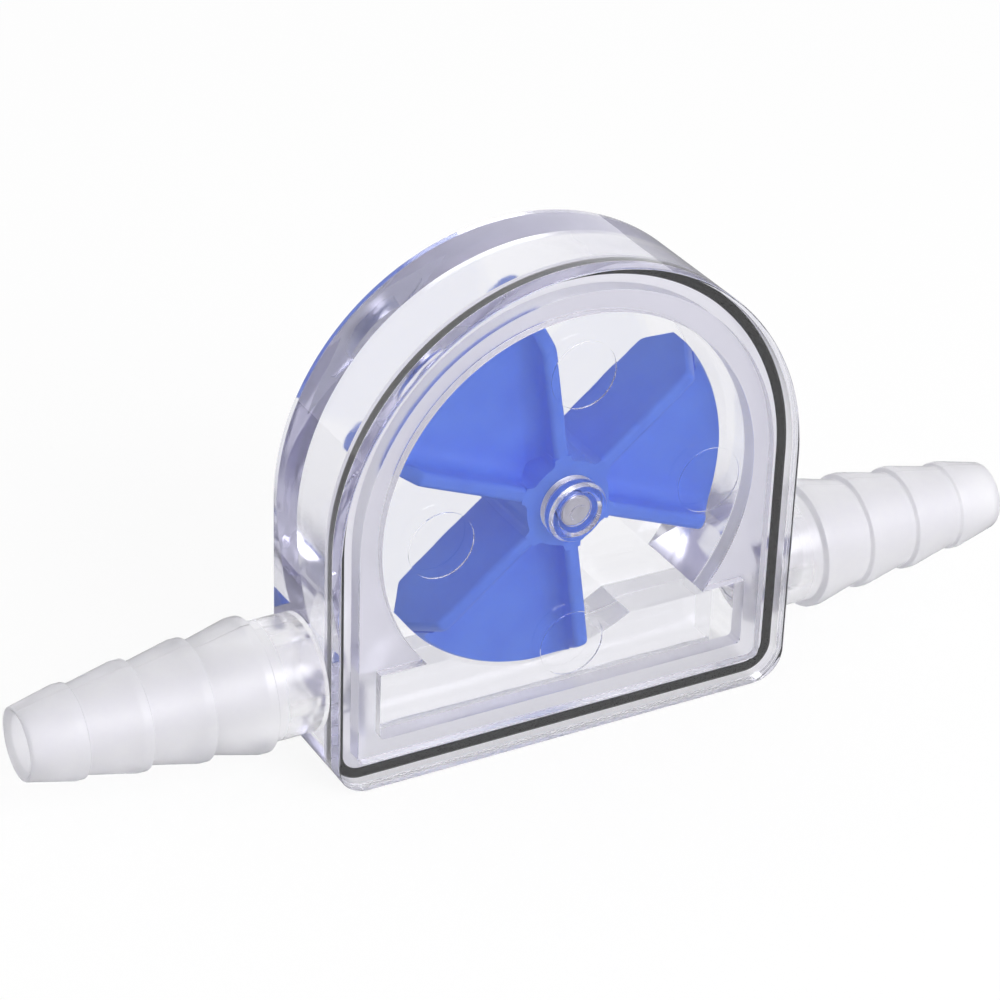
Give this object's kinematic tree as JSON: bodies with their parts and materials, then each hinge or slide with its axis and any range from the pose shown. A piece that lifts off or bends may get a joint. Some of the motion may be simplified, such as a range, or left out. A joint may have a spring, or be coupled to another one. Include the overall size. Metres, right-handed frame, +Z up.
{
  "type": "flow indicator",
  "caption": "Clear D-shaped in-line flow indicator with a paddle rotor behind a sealed front window and a stepped hose barb on each side.",
  "frame": {"origin": "middle of the flat base the housing stands on, half-way through the depth, below the rotor axis", "axes": "+X along the hose line from the inlet to the outlet, +Y from the window to the back, +Z up"},
  "size_m": [0.0972, 0.0132, 0.0452],
  "materials": {
    "clear_plastic": "polished clear moulding",
    "frosted_plastic": "fine frosted moulding, translucent",
    "blue_plastic": "satin moulding",
    "black_rubber": "smooth moulded rubber",
    "axle_steel": "ground pin"
  },
  "bodies": {
    "body": {"rear_housing": "clear_plastic", "front_cover": "clear_plastic", "cover_seal": "black_rubber", "inlet_barb": "frosted_plastic", "outlet_barb": "frosted_plastic", "rotor_axle": "axle_steel"},
    "rotor": {"rotor": "blue_plastic"}
  },
  "joints": [
    {"name": "rotor_spin", "type": "hinge", "parent": "body", "child": "rotor", "pos_m": [0, 0, 0.0227], "axis": [0, -1, 0], "continuous": true}
  ]
}
